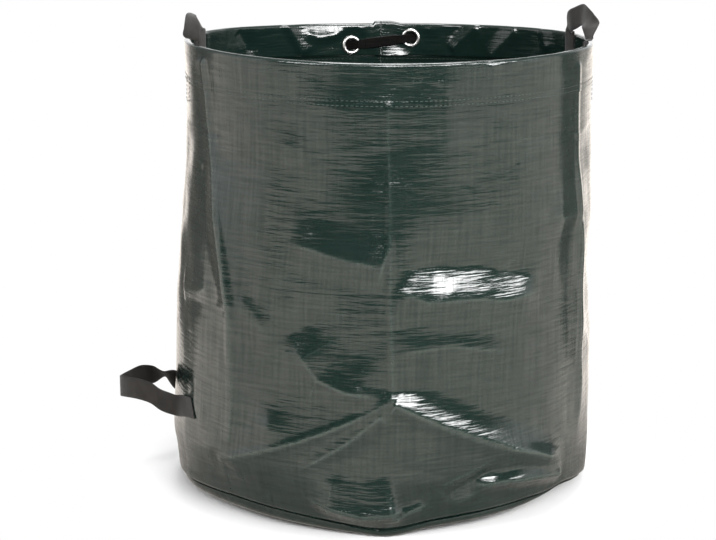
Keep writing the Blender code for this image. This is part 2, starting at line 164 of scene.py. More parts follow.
def curve_through(places, values, wanted, period=None):
    """Smooth curve through stations, read at the wanted places; with a period it closes on itself."""
    places, values = np.array(places, float), np.array(values, float)
    if period:
        places = np.concatenate([places[-2:] - period, places, places[:2] + period])
        values = np.concatenate([values[-2:], values, values[:2]])
        wanted = places[1] + np.mod(np.asarray(wanted, float) - places[1], period)
    slopes = np.empty_like(values)
    slopes[1:-1] = ((values[2:] - values[:-2]).T / (places[2:] - places[:-2])).T
    slopes[0] = (values[1] - values[0]) / (places[1] - places[0])
    slopes[-1] = (values[-1] - values[-2]) / (places[-1] - places[-2])
    low = np.clip(np.searchsorted(places, wanted, side="right") - 1, 0, len(places) - 2)
    span = places[low + 1] - places[low]
    part = np.clip((wanted - places[low]) / span, 0, 1)
    if values.ndim > 1:
        part, span = part[..., None], span[..., None]
    rise = part * part * (3 - 2 * part)
    leave = slopes[low] * span * part * (1 - part) ** 2
    arrive = slopes[low + 1] * span * part * part * (1 - part)
    return values[low] + (values[low + 1] - values[low]) * rise + leave - arrive


def wall_at(height):
    """Radius and lean of the wall's outer face at each height, before it creases."""
    shares = np.array(wall_shares)
    belly = curve_through(shares[:, 0], shares[:, 1], height / bag_height)
    lean = curve_through(shares[:, 0], shares[:, 2], height / bag_height)
    inner = rim_radius - fabric - seat
    return inner + (belly_radius - inner) * belly, rim_axis_x * lean


def top_at(heading):
    side = np.cos(heading)
    return bag_height + np.where(side > 0, rim_lift_right, rim_lift_left) * side * side


def wall_pixel(px, far=False):
    """Where a pixel meets the wall, as the distance round from the front and the height."""
    ray, radius, lean = pixel_ray(px), rim_radius, 0.0
    start = camera_place
    for _ in range(ray_rounds):
        flat = Vector((start.x - lean, start.y))
        way = Vector((ray.x, ray.y))
        a, b, c = way.length_squared, flat.dot(way), flat.length_squared - radius * radius
        root = math.sqrt(max(b * b - a * c, 0))
        hit = start + ray * ((-b + (root if far else -root)) / a)
        radius, lean = (float(v) for v in wall_at(np.array(hit.z)))
    turn = math.remainder(math.atan2(hit.y, hit.x - lean) + math.pi / 2, 2 * math.pi)
    return turn * flat_radius, hit.z


# Creases of the fabric

def polyline_field(points, s, z):
    """Distance to a polyline, how far to its left as a share of that, and the share of the way along it."""
    points = np.array(points, float)
    legs = np.hypot(*(points[1:] - points[:-1]).T)
    total = legs.sum()
    best = np.full(s.shape, np.inf)
    left, along = np.zeros_like(s), np.zeros_like(s)
    gone = 0.0
    for start, end, leg in zip(points[:-1], points[1:], legs):
        ways = (end - start) / leg
        ds, dz = s - start[0], z - start[1]
        t = np.clip(ds * ways[0] + dz * ways[1], 0, leg)
        off = np.hypot(ds - t * ways[0], dz - t * ways[1])
        side = (ways[0] * dz - ways[1] * ds) / np.maximum(off, 1e-9)
        near = off < best
        best = np.where(near, off, best)
        left = np.where(near, np.clip(side, -1, 1), left)
        along = np.where(near, (gone + t) / total, along)
        gone += leg
    return best, left, along


def ridge(away, side, left, right, crest, foot):
    """Height of a fold as a share: 1 on its line, and 0 beyond its widths to the left and to the right."""
    width = (left + right) / 2 + (left - right) / 2 * side
    gone = (np.sqrt(away**2 + crest**2) - crest) / width
    return np.clip(1 - gone, 0, 1) ** foot


def crease(s, z, points, height, left, right, start, end):
    """A sharp fold along a polyline, which fades in over the start share of its way and out over the end."""
    away, side, along = polyline_field(points, s, z)
    fade = eased(along / start) * eased((1 - along) / end)
    return height * ridge(away, side, left, right, crease_crest, crease_foot) * fade


def swell(s, z, place, height, wide, tall):
    """A soft rise or dent round a place."""
    return height * np.exp(-(((s - place[0]) / wide) ** 2 + ((z - place[1]) / tall) ** 2))


crease_crest = 0.0022
crease_foot = 1.4

# Main folds, which the wall's solid has too: rise and width of the largest, and where all of them run out
fold_rise = 0.0110
fold_width = 0.0900
fold_ease = 0.0500
fold_fade = 0.1500
fold_low = 0.024
fold_high = 0.634
fold_crest = 0.004
fold_foot = 1.5

# Each fold's start and end, both as a share of a turn from the front and a share of the height; its rise as a
# share, dents less than zero; and the shares of the width on its left and right, seen along it from outside
fold_shares = (
    (0.001, 0.301, -0.007, 0.900, 0.55, 0.95, 0.75),
    (0.001, 0.301, -0.132, 0.112, 0.55, 0.60, 0.95),
    (0.001, 0.301, 0.125, 0.125, 1.00, 0.50, 1.10),
    (-0.055, 0.130, -0.020, 0.140, 0.10, 0.60, 0.60),
    (0.010, 0.140, 0.055, 0.125, 0.12, 0.60, 0.60),
    (-0.125, 0.180, -0.130, 0.480, 0.40, 0.50, 0.50),
    (-0.130, 0.480, -0.168, 0.900, 0.55, 0.50, 0.55),
    (0.175, 0.900, 0.179, 0.200, 0.40, 0.50, 0.50),
    (-0.105, 0.380, -0.060, 0.460, -0.22, 0.50, 0.50),
    (-0.222, 0.850, -0.235, 0.400, -0.18, 0.60, 0.60),
    (-0.300, 0.880, -0.285, 0.420, 0.50, 0.60, 0.50),
    (-0.345, 0.760, -0.362, 0.360, -0.45, 0.60, 0.55),
    (-0.395, 0.900, -0.405, 0.330, 0.62, 0.60, 0.60),
    (-0.440, 0.540, -0.430, 0.120, -0.45, 0.55, 0.70),
    (-0.478, 0.860, -0.490, 0.350, 0.42, 0.60, 0.50),
    (0.222, 0.840, 0.238, 0.420, -0.20, 0.55, 0.60),
    (0.272, 0.580, 0.264, 0.160, 0.40, 0.50, 0.60),
    (0.305, 0.880, 0.298, 0.380, 0.50, 0.55, 0.60),
    (0.350, 0.520, 0.368, 0.140, -0.50, 0.60, 0.60),
    (0.398, 0.880, 0.412, 0.440, -0.40, 0.60, 0.55),
    (0.446, 0.600, 0.436, 0.150, 0.60, 0.60, 0.60),
)


def main_folds(s, z):
    """How far the main folds stand out: of those that meet, the highest and the deepest count."""
    rise, dent = np.zeros_like(s), np.zeros_like(s)
    for from_turn, from_height, to_turn, to_height, share, left, right in fold_shares:
        run = ((to_turn - from_turn) * round_way, (to_height - from_height) * bag_height)
        off_x = (np.mod(s / flat_turn - from_turn + 0.5, 1) - 0.5) * round_way
        away, side, _ = polyline_field([(0, 0), run], off_x, z - from_height * bag_height)
        line = ridge(away, side, fold_width * left, fold_width * right, fold_crest, fold_foot)
        rise, dent = np.maximum(rise, fold_rise * share * line), np.minimum(dent, fold_rise * share * line)
    return (rise + dent) * eased((z - fold_low) / fold_ease) * eased((fold_high - z) / fold_fade)


# Sharper creases that the photo shows: pixels along each, height, widths to its left and right, and its fades
front_creases = (
    (((389, 96), (388, 140), (390, 240), (391, 330), (393, 403)), 0.0015, 0.008, 0.008, 0.05, 0.02),
    (((388, 402), (352, 421), (300, 442), (206, 470)), 0.0014, 0.010, 0.010, 0.05, 0.30),
    (((388, 410), (352, 440), (318, 462), (290, 480)), 0.0036, 0.030, 0.017, 0.10, 0.30),
    (((393, 403), (440, 426), (490, 447), (520, 456)), 0.0018, 0.026, 0.020, 0.02, 0.30),
    (((497, 450), (530, 456), (562, 465)), 0.0040, 0.018, 0.026, 0.30, 0.30),
    (((400, 272), (430, 266), (480, 265), (538, 276)), -0.0062, 0.080, 0.042, 0.25, 0.20),
    (((392, 288), (428, 302), (470, 299), (505, 300), (544, 288)), 0.0064, 0.042, 0.055, 0.12, 0.18),
    (((484, 68), (500, 65), (523, 61)), 0.0034, 0.009, 0.014, 0.25, 0.25),
    (((286, 103), (370, 110), (452, 102)), 0.0024, 0.045, 0.150, 0.25, 0.25),
    (((443, 502), (470, 488), (502, 468)), -0.0070, 0.018, 0.022, 0.25, 0.35),
    (((470, 492), (500, 487), (560, 479)), 0.0078, 0.023, 0.018, 0.20, 0.10),
    (((492, 489), (530, 483), (562, 479)), 0.0036, 0.020, 0.018, 0.25, 0.20),
    (((384, 519), (404, 514), (430, 506)), 0.0050, 0.014, 0.014, 0.30, 0.30),
    (((203, 60), (209, 130), (217, 217), (222, 255), (233, 330), (252, 370)), 0.0036, 0.016, 0.03, 0.02, 0.3),
    (((231, 300), (234, 400), (230, 455)), 0.0016, 0.016, 0.014, 0.10, 0.20),
    (((212, 448), (220, 468), (240, 480)), -0.0032, 0.024, 0.024, 0.35, 0.35),
    (((578, 60), (577, 160), (579, 300), (577, 440)), 0.0022, 0.012, 0.016, 0.02, 0.10),
    (((286, 242), (330, 256), (388, 268)), 0.0050, 0.050, 0.040, 0.25, 0.06),
    (((290, 330), (302, 358), (318, 380), (345, 392), (385, 397)), 0.0066, 0.064, 0.030, 0.30, 0.22),
    (((232, 300), (262, 330), (300, 372)), 0.0018, 0.030, 0.040, 0.20, 0.50),
    (((180, 300), (205, 305), (232, 300)), -0.0020, 0.024, 0.024, 0.30, 0.30),
    (((296, 497), (330, 508), (362, 513), (406, 507)), 0.0195, 0.058, 0.024, 0.42, 0.14),
    (((396, 352), (450, 346), (520, 352)), 0.0034, 0.040, 0.030, 0.20, 0.30),
    (((548, 214), (563, 219), (580, 212)), 0.0050, 0.080, 0.030, 0.35, 0.10),
    (((183, 288), (200, 293), (220, 286)), 0.0036, 0.050, 0.040, 0.10, 0.30),
)

# Soft rises and dents that the photo shows: pixel, height, width and length
front_swells = (
    ((272, 430), 0.0045, 0.030, 0.030),
    ((292, 150), 0.0016, 0.026, 0.022),
    ((440, 345), 0.0016, 0.060, 0.050),
    ((212, 470), -0.0026, 0.026, 0.020),
)

# Slow waves of the fabric, which are calm in front. Their height is that of one as long as wave_length
wave_seed = 11
wave_count = 30
wave_span = (0.07, 0.30)
wave_lean = 1.2
wave_height = 0.00040
wave_length = 0.18
wave_power = 0.8
wave_calm = 0.30
calm_half = 0.30
calm_ease = 0.12

# Small crumples. The right width and the least height are shares of the left width and of the height
crumple_seed = 5
crumple_count = 120
crumple_length = (0.025, 0.110)
crumple_height = 0.0006
crumple_least = 0.3
crumple_width = (0.008, 0.024)
crumple_right = 0.7
crumple_bend = 0.5
crumple_places = (0.03, 0.70)
crumple_lean = 0.55
upright_share = 0.35
crumple_fade = 0.4

# The hoop fills the hem, so over it the fabric stands out only
hoop_reach = (0.690, 0.712)
least_stand = 0.0010


def slow_waves(s, z):
    random = np.random.default_rng(wave_seed)
    total = np.zeros_like(s)
    for _ in range(wave_count):
        length = math.exp(random.uniform(*np.log(wave_span)))
        way = random.uniform(-wave_lean, wave_lean)
        rounds = max(round(flat_turn * math.cos(way) / length), 1)
        rise = math.sin(way) / length
        phase = random.uniform(0, 2 * math.pi)
        wave = np.cos(2 * math.pi * (rounds * s / flat_turn + rise * z) + phase)
        total += wave * (length / wave_length) ** wave_power
    return wave_height * total


def crumples(s, z):
    random = np.random.default_rng(crumple_seed)
    total = np.zeros_like(s)
    for _ in range(crumple_count):
        place = np.array([random.uniform(-flat_turn / 2, flat_turn / 2), random.uniform(*crumple_places)])
        way = random.normal(0, crumple_lean) + (math.pi / 2 if random.random() < upright_share else 0)
        length = random.uniform(*crumple_length)
        bend = random.uniform(-crumple_bend, crumple_bend)
        step = np.array([math.cos(way), math.sin(way)]) * length / 2
        kink = np.array([-step[1], step[0]]) * bend
        height = random.uniform(crumple_least, 1) * crumple_height * random.choice([-1, 1])
        width = random.uniform(*crumple_width)
        near = np.abs(wrapped(s - place[0])) < length + width
        near &= np.abs(z - place[1]) < length + width
        if near.any():
            ds, dz = wrapped(s[near] - place[0]), z[near] - place[1]
            sizes = (height, width, width * crumple_right, crumple_fade, crumple_fade)
            total[near] += crease(ds, dz, [-step, kink, step], *sizes)
    return total


# Heights between which the fabric lies alike, as this much goes up inside the hem when the rim goes down
alike_from = 0.622
alike_to = 0.690
alike_ease = (0.020, 0.040)

# Behind the tipping handle, and where it goes down, the fabric lies plain: turn, height and half the size
sewn_turn = math.radians(-104)
sewn_height = 0.165
sewn_half = (0.190, 0.105)
sewn_ease = (0.030, 0.060)


def held_height(z):
    """Heights for the relief: those that lie alike become their middle, with an ease at both ends."""
    middle = (alike_from + alike_to) / 2
    inside = eased(1 - (alike_from - z) / alike_ease[0]) * eased(1 - (z - alike_to) / alike_ease[1])
    return z + (middle - z) * inside


def sewn_share(s, z):
    """1 behind the tipping handle, and 0 away from it."""
    across = (np.abs(wrapped(s - sewn_turn * flat_radius)) - sewn_half[0]) / sewn_ease[0]
    up = (np.abs(z - sewn_height) - sewn_half[1]) / sewn_ease[1]
    return (1 - eased(across)) * (1 - eased(up))


# The lower left corner stands out more than the rest: its turn, reach round, rise and height, how steeply it
# begins at its sides, and the power of its slope upwards
corner_place = math.radians(-84)
corner_reach = math.radians(46)
corner_rise = 0.0125
corner_height = 0.085
corner_side = 1.3
corner_foot = 1.6


def corner_stand(s, z):
    """How far the lower left corner stands out."""
    aside = np.abs(wrapped(s - corner_place * flat_radius)) / (corner_reach * flat_radius)
    upward = np.clip(1 - (z - wall_bottom) / corner_height, 0, 1) ** corner_foot
    return corner_rise * eased(corner_side * (1 - aside)) * upward


def relief(s, z):
    """How far the fabric stands out of its plain shape at each place."""
    calm = wave_calm + (1 - wave_calm) * eased((np.abs(wrapped(s)) - calm_half) / calm_ease)
    held = held_height(z)
    total = main_folds(s, held) + calm * slow_waves(s, held) + crumples(s, held)
    for pixels, *sizes in front_creases:
        total += crease(s, z, [wall_pixel(px) for px in pixels], *sizes)
    for px, *sizes in front_swells:
        total += swell(s, z, wall_pixel(px), *sizes)
    total = total * (1 - sewn_share(s, z)) + corner_stand(s, z)
    over_hoop = eased((z - hoop_reach[0]) / (hoop_reach[1] - hoop_reach[0]))
    proud = (total + np.sqrt(total**2 + least_stand**2)) / 2
    return total + (proud - total) * over_hoop


# Helpers for meshes

def add_piece(name, points, faces, material, flat_map=None, highlight_and_dust=None):
    """A mesh piece; flat_map gives each point's place on the flat cloth in metres, and the last argument how
    far a painted highlight lightens its colour.
    """
    mesh = bpy.data.meshes.new(name)
    mesh.from_pydata([tuple(p) for p in points], [], [tuple(int(i) for i in f) for f in faces])
    if flat_map is not None:
        layer = mesh.uv_layers.new(name="cloth")
        corners = np.empty(len(mesh.loops), np.int32)
        mesh.loops.foreach_get("vertex_index", corners)
        layer.data.foreach_set("uv", np.asarray(flat_map, np.float32)[corners].ravel())
    if highlight_and_dust is not None:
        crest_highlight = mesh.attributes.new("highlight_and_dust", "FLOAT", "POINT")
        crest_highlight.data.foreach_set("value", np.asarray(highlight_and_dust, np.float32))
    mesh.materials.append(material)
    mesh.shade_smooth()
    piece = bpy.data.objects.new(name, mesh)
    bpy.context.scene.collection.objects.link(piece)
    return piece


def grid_faces(rows, columns, skip=None):
    """Quads of a grid of points held row by row, with its last column joined to the first."""
    faces = []
    for r in range(rows - 1):
        for c in range(columns):
            if skip is not None and skip[r, c]:
                continue
            d = (c + 1) % columns
            faces.append((r * columns + c, r * columns + d, (r + 1) * columns + d, (r + 1) * columns + c))
    return faces


def grid_normals(points):
    """Unit normals of a closed grid of points [row, column], pointing to the right of up the rows."""
    across = np.roll(points, -1, axis=1) - np.roll(points, 1, axis=1)
    return unit(np.cross(across, np.gradient(points, axis=0)))


edge_angle = math.radians(60)


def shell(name, outer, material, flat_map, highlight_and_dust=None, skip=None):
    """A layer of fabric: an outer grid, its copy inside, and strips that join them round edges and holes."""
    rows, columns = outer.shape[:2]
    inner = outer - grid_normals(outer) * fabric
    count = rows * columns
    faces = grid_faces(rows, columns, skip)
    edges = dict.fromkeys((a, b) for f in faces for a, b in zip(f, f[1:] + f[:1]))
    inside = [tuple(i + count for i in reversed(f)) for f in faces]
    joins = [(b, a, a + count, b + count) for a, b in edges if (b, a) not in edges]
    points = np.concatenate([outer.reshape(-1, 3), inner.reshape(-1, 3)])
    maps = np.concatenate([flat_map.reshape(-1, 2)] * 2)
    crest_highlight = None if highlight_and_dust is None else np.concatenate([highlight_and_dust.ravel()] * 2)
    piece = add_piece(name, points, faces + inside + joins, material, maps, crest_highlight)
    if skip is not None:
        shape = bmesh.new()
        shape.from_mesh(piece.data)
        bmesh.ops.delete(shape, geom=[v for v in shape.verts if not v.link_faces], context="VERTS")
        shape.to_mesh(piece.data)
        shape.free()
    piece.data.set_sharp_from_angle(angle=edge_angle)
    return piece


def tube_faces(rows, columns, first=0):
    """Faces of a tube of rings of points, closed at both ends; first is its first point's number."""
    faces = [tuple(first + i for i in reversed(f)) for f in grid_faces(rows, columns)]
    last = first + rows * columns
    return faces + [tuple(range(first, first + columns)), tuple(range(last - 1, last - 1 - columns, -1))]


# Wall

wall_columns = 660
wall_row_step = 0.0027
front_density = 0.42
groove_depth = 0.0085
groove_reach = 0.009
wall_top = wall_high.z - rim_lift_left
hem_depth = 0.067
hem_bulge = 0.0084
hem_out = 0.0013

# Inside the hem, the wall draws in this much, from the start on and over the ease
tuck_depth = 0.0002
tuck_start = bag_height - hem_depth - 0.003
tuck_ease = 0.004
# Bend of a crease at which the painted highlight along its top is full
highlight_bend = 0.0006

# The lower edge round the bag: turn in degrees from the front, positive to the right; its lift; the height of
# the base's strip under the groove; and the radius at which the base meets the floor
edge_stations = (
    (-180, 0.0020, 0.018, 0.3160),
    (-150, 0.0020, 0.017, 0.3160),
    (-110, 0.0040, 0.018, 0.3170),
    (-76, 0.0080, 0.020, 0.3180),
    (-50, 0.0115, 0.022, 0.3180),
    (-25, 0.0085, 0.018, 0.3190),
    (-10, 0.0030, 0.013, 0.3210),
    (-2, 0.0000, 0.012, 0.3250),
    (10, 0.0110, 0.013, 0.3200),
    (26, 0.0160, 0.014, 0.3180),
    (40, 0.0190, 0.014, 0.3120),
    (48, 0.0230, 0.009, 0.3030),
    (57, 0.0270, 0.006, 0.2980),
    (68, 0.0180, 0.006, 0.3020),
    (77, 0.0075, 0.009, 0.3100),
    (92, 0.0030, 0.014, 0.3160),
    (130, 0.0020, 0.017, 0.3160),
)
lift_height = 0.20


def edge_at(turn):
    """Lift of the lower edge, height of the strip and radius on the floor, at each turn from the front."""
    table = np.array(edge_stations, float)
    return np.moveaxis(curve_through(table[:, 0], table[:, 1:], np.degrees(turn), 360), -1, 0)


def column_turns():
    """Turns from the front of the columns, evenly spread round the bag."""
    return (np.arange(wall_columns) + 0.5) / wall_columns * 2 * math.pi - math.pi


def fabric_place(turn, z, out=0.0):
    """Places on the wall's face at turns and heights, this far out, and how far its relief stands there."""
    radius, lean = wall_at(z)
    heading = turn - math.pi / 2
    stand = relief(turn * flat_radius, z)
    lift, strip, _ = edge_at(turn)
    above = np.maximum(z - wall_bottom, 0)
    groove = groove_depth * (1 - eased(above / groove_reach))
    rise = (lift + strip - wall_bottom) * (1 - eased(above / lift_height))
    rise = rise + (top_at(heading) - bag_height) * eased(above / (bag_height - wall_bottom))
    return ring(lean, radius - groove + stand + out, heading, z + rise), stand


def crest_highlight_share(stand):
    """Share of a painted highlight that lightens the fabric's colour: most along the tops of its creases."""
    bend = 4 * stand - np.roll(stand, 1, 1) - np.roll(stand, -1, 1)
    bend[1:-1] -= stand[2:] + stand[:-2]
    return np.clip(bend / highlight_bend, 0, 1)


def make_wall():
    z = np.linspace(wall_bottom, wall_top, round((wall_top - wall_bottom) / wall_row_step))
    turn = column_turns()
    turn, z = np.meshgrid(turn - front_density * np.sin(turn), z)
    outer, stand = fabric_place(turn, z, -tuck_depth * eased((z - tuck_start) / tuck_ease))
    flat_map = np.stack([turn * flat_radius, z], axis=-1)
    piece = shell("wall_fabric", outer, woven, flat_map, crest_highlight_share(stand))
    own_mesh(piece)
    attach(piece, "base")
    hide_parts("wall_panel")
    return piece


# Base. strip_length is the strip's length on the flat cloth as a share of its height

base_rings = 34
corner_rings = 12
corner_turn = math.radians(80)
strip_bulge = 0.0030
strip_length = 1.3
lift_start = 0.62
base_wave_height = 0.0014
base_wave_seed = 7
base_wave_count = 14
base_wave_span = (0.08, 0.35)
wave_fade = 5


def base_waves(x, y):
    """Low ripples of the floor panel, which only rise, so that the bag rests flat."""
    random = np.random.default_rng(base_wave_seed)
    total = np.zeros_like(x)
    for _ in range(base_wave_count):
        way, length = random.uniform(0, math.pi), random.uniform(*base_wave_span)
        along = (x * math.cos(way) + y * math.sin(way)) / length
        total += np.abs(np.sin(math.pi * along + random.uniform(0, math.pi))) * length
    return base_wave_height * total


def make_base():
    turn = column_turns()
    heading = turn - math.pi / 2
    lift, strip, contact = edge_at(turn)
    low = np.full_like(turn, wall_bottom)
    radius, lean = wall_at(low)
    top_radius = radius - groove_depth + relief(turn * flat_radius, low) + fabric + seat
    rows = []
    for share in np.arange(base_rings) / base_rings:
        reach = contact * share
        raised = eased((share - lift_start) / (1 - lift_start))
        ripple = base_waves(reach * np.cos(heading), reach * np.sin(heading)) * eased((1 - share) * wave_fade)
        rows.append((reach, lift * raised + ripple * (1 - raised), reach))
    for share in np.arange(corner_rings + 1) / corner_rings:
        a = corner_turn * share
        bulge = strip_bulge * math.sin(math.pi * share)
        reach = contact + (top_radius - contact + bulge) * math.sin(a) / math.sin(corner_turn)
        height = lift + strip * (1 - math.cos(a)) / (1 - math.cos(corner_turn))
        rows.append((reach, height, contact + strip * share * strip_length))
    points, flat_map = [], []
    for i, (reach, height, flat) in enumerate(rows):
        points.append(ring(lean * max(2 * i / len(rows) - 1, 0), reach, heading, height))
        flat_map.append(ring(0, flat, heading, height)[:, :2])
    piece = shell("base_fabric", np.array(points), woven, np.array(flat_map))
    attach(piece, "base")
    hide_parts("base_panel")
    return piece


# Hem

hem_fold = hem_bulge / 2
hem_face = rim_radius - hem_bulge
hem_lip = 0.006
hem_slope = 0.004
lip_face = rim_radius - 3 * fabric - 2 * seat
hem_outer_rows = 26
fold_rows = 9
hem_inner_rows = 24
tab_height = 0.0042
tab_pixels = ((373.5, 30), (389, 30))
tab_edge = 0.0012
tab_slope = 0.026
tab_fade_out = 0.03
tab_fade_in = 0.04
eyelet_spacing = 0.108
eyelet_drops = {"left": 0.0385, "right": 0.026}
eyelet_turn = eyelet_spacing / 2 / hem_face
hole_radius = 0.0134
flat_round_eyelet = 0.0144
flat_ease = 0.024
# Share of painted highlight on the top of the hem's fold
fold_highlight = 0.5

# The hem's inner face takes waves and crumples of elsewhere: share of their height, and how far off they lie
inner_share = 0.8
wave_shift = 0.3
crumple_shift = (0.5, -0.2)

# Folds of the hem's inner face at the back: pixels, height towards the middle, widths, and where each fades
inner_creases = (
    (((283, 24), (291, 38), (297, 48), (302, 60)), 0.0060, 0.010, 0.040, 0.05, 0.20),
    (((300, 31), (316, 38), (330, 36), (344, 33), (368, 27)), 0.0050, 0.014, 0.020, 0.20, 0.20),
    (((372, 58), (392, 57), (420, 53)), 0.0016, 0.010, 0.020, 0.30, 0.30),
    (((452, 52), (464, 40), (480, 27)), 0.0044, 0.012, 0.020, 0.15, 0.05),
    (((404, 33), (425, 30), (446, 30)), 0.0026, 0.012, 0.020, 0.20, 0.40),
    (((489, 62), (505, 45), (520, 30)), 0.0036, 0.016, 0.026, 0.20, 0.10),
    (((236, 33), (246, 48), (250, 60)), -0.0030, 0.020, 0.026, 0.10, 0.30),
    (((545, 30), (548, 44), (552, 56)), 0.0030, 0.016, 0.024, 0.10, 0.30),
)


def eyelet_heading(side):
    return math.pi / 2 + (1 if side == "left" else -1) * eyelet_turn


def eyelet_frame(side):
    """Puts the Z axis through the hem's inner skin, towards the middle of the bag."""
    heading = eyelet_heading(side)
    centre = Vector(ring(rim_axis_x, hem_face, heading, bag_height - eyelet_drops[side]))
    turned = Matrix.Rotation(heading, 4, "Z") @ Matrix.Rotation(-math.pi / 2, 4, "Y")
    return Matrix.Translation(centre) @ turned


def eyelet_gap(s, z):
    """Distance along the cloth to the nearer eyelet's middle."""
    gaps = []
    for side, drop in eyelet_drops.items():
        around = wrapped(s - (eyelet_heading(side) + math.pi / 2) * flat_radius) * hem_face / flat_radius
        gaps.append(np.hypot(around, z - (bag_height - drop)))
    return np.minimum(*gaps)


def tab_rise(s):
    """The rim stands a little higher where the hem's ends lap: steep on one side, sloping on the other."""
    left, right = (wall_pixel(px, far=True)[0] for px in tab_pixels)
    half = wrapped(left - right) / 2
    off = wrapped(s - right - half)
    gone = (np.abs(off) - half) / np.where(off > 0, tab_edge, tab_slope)
    return tab_height * (1 - eased(gone))


def inner_relief(s, z):
    """How far the hem's inner face stands in towards the middle."""
    total = inner_share * slow_waves(s + wave_shift, z)
    total += inner_share * crumples(s + crumple_shift[0], z + crumple_shift[1])
    for pixels, *sizes in inner_creases:
        points = [(p % flat_turn, q) for p, q in (wall_pixel(px, far=True) for px in pixels)]
        total += crease(s % flat_turn, z, points, *sizes)
    return total * eased((eyelet_gap(s, z) - flat_round_eyelet) / flat_ease)


def make_hem():
    turn = column_turns()
    heading = turn - math.pi / 2
    s = turn * flat_radius
    top = top_at(heading)
    raised = tab_rise(s)
    rows, maps, crest_highlight = [], [], []

    def add_row(points, flat_height, highlight_and_dust=0.0):
        rows.append(points)
        maps.append(np.stack([s, np.full_like(s, flat_height)], axis=-1))
        crest_highlight.append(np.full_like(s, highlight_and_dust))

    for z in np.linspace(bag_height - hem_depth, bag_height - hem_fold, hem_outer_rows):
        place, _ = fabric_place(turn, np.full_like(turn, z), hem_out)
        place[:, 2] += raised * eased((z - bag_height + tab_fade_out) / tab_fade_out)
        add_row(place, z)
    last = rows[-1]
    outer_reach = np.hypot(last[:, 0] - rim_axis_x, last[:, 1])
    inner_reach = hem_face - inner_relief(s, np.full_like(s, bag_height - hem_fold))
    for i in range(1, fold_rows):
        a = math.pi * i / fold_rows
        share = (1 - math.cos(a)) / 2
        reach = outer_reach + (inner_reach - outer_reach) * share
        place = ring(rim_axis_x, reach, heading, last[:, 2] + hem_fold * math.sin(a))
        add_row(place, bag_height + hem_fold * share, fold_highlight * math.sin(a))
    slope_top = hem_depth - hem_lip - hem_slope
    drops = list(np.linspace(hem_fold, slope_top, hem_inner_rows))
    drops += [slope_top + hem_slope / 2, hem_depth - hem_lip, hem_depth - hem_lip / 2, hem_depth]
    for drop in drops:
        z = np.full_like(s, bag_height - drop)
        sloped = eased((drop - slope_top) / hem_slope)
        reach = hem_face + (lip_face - hem_face) * sloped - inner_relief(s, z) * (1 - sloped)
        height = top - drop + raised * eased((z - bag_height + tab_fade_in) / tab_fade_in)
        add_row(ring(rim_axis_x, reach, heading, height), bag_height + drop)
    outer = np.array(rows)
    skip = np.zeros(outer.shape[:2], bool)
    half_column = math.pi / wall_columns * flat_radius
    for row, drop in enumerate(drops[:-1], len(rows) - len(drops)):
        skip[row] = eyelet_gap(s + half_column, bag_height - drop) < hole_radius
    piece = shell("hem_fabric", outer, hem_woven, np.array(maps), np.array(crest_highlight), skip)
    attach(piece, "rim")
    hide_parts("hem_band")
    return piece


# Eyelets, each one rolled ring with its barrel, and the washer behind

eyelet_bore = 0.022
eyelet_flange = 0.034
eyelet_crown = 0.0026
crown_power = 0.8
eyelet_edge = 0.0004
eyelet_wall = 0.0006
barrel_end = 0.0012
washer_flange = 0.032
washer_thickness = 0.0008
lathe_steps = 72
crown_steps = 12
lathe_edge_angle = math.radians(50)


def lathe(name, profile, place, node):
    """A closed ring turned about the Z axis of a frame from a closed profile of (radius, height)."""
    points, faces = [], []
    count = len(profile)
    for i in range(lathe_steps):
        a = 2 * math.pi * i / lathe_steps
        for radius, height in profile:
            points.append(place @ Vector((radius * math.cos(a), radius * math.sin(a), height)))
        for j in range(count):
            k, n = (j + 1) % count, (i + 1) % lathe_steps
            faces.append((i * count + j, n * count + j, n * count + k, i * count + k))
    piece = add_piece(name, points, faces, chrome)
    piece.data.set_sharp_from_angle(angle=lathe_edge_angle)
    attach(piece, "rim")
    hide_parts(node)


def make_eyelets():
    bore, flange = eyelet_bore / 2, eyelet_flange / 2
    low = seat + flange * flange / 2 / hem_face
    near = -fabric - seat
    back_face = near - washer_thickness - barrel_end
    profile = [(flange, low)]
    for i in range(crown_steps + 1):
        a = math.pi * i / crown_steps
        reach = (bore + flange) / 2 + (flange - bore) / 2 * math.cos(a)
        profile.append((reach, low + eyelet_edge + eyelet_crown * math.sin(a) ** crown_power))
    profile += [(bore, back_face), (bore + eyelet_wall, back_face), (bore + eyelet_wall, low)]
    outer, hole = washer_flange / 2, bore + eyelet_wall + seat
    washer = [(outer, near), (hole, near), (hole, near - washer_thickness), (outer, near - washer_thickness)]
    for side in eyelet_drops:
        place = eyelet_frame(side)
        lathe(f"eyelet_ring_{side}", profile[::-1], place, f"eyelet_{side}")
        lathe(f"eyelet_washer_{side}", washer, place, f"washer_{side}")


# Webbing straps

webbing_width = 0.036
webbing = 0.0015
strap_samples = 120
strap_across = 10
strap_edge_angle = math.radians(70)
handle_span = 0.180
handle_gap = 0.0013
leg_drops = (0.094, 0.080, 0.066, 0.050, 0.020, 0.006, -0.004)

# The right handle from its near leg to its far one: pixel and depth of the outer and of the inner edge
right_strap_edges = (
    ((591.6, 40.0), -0.104, (586.2, 39.0), -0.074),
    ((592.6, 35.5), -0.100, (585.0, 35.0), -0.070),
    ((596.4, 28.0), -0.090, (583.8, 30.5), -0.064),
    ((598.1, 22.6), -0.074, (583.2, 27.2), -0.054),
    ((594.0, 15.6), -0.056, (582.9, 25.6), -0.034),
    ((588.2, 8.2), -0.030, (582.7, 25.2), -0.014),
    ((583.2, 3.8), 0.000, (581.4, 25.8), 0.002),
    ((575.4, 7.6), 0.028, (577.0, 27.6), 0.022),
    ((569.0, 11.8), 0.054, (571.8, 29.6), 0.044),
    ((567.4, 18.0), 0.080, (570.4, 31.0), 0.058),
    ((567.4, 25.0), 0.098, (571.6, 33.0), 0.066),
)

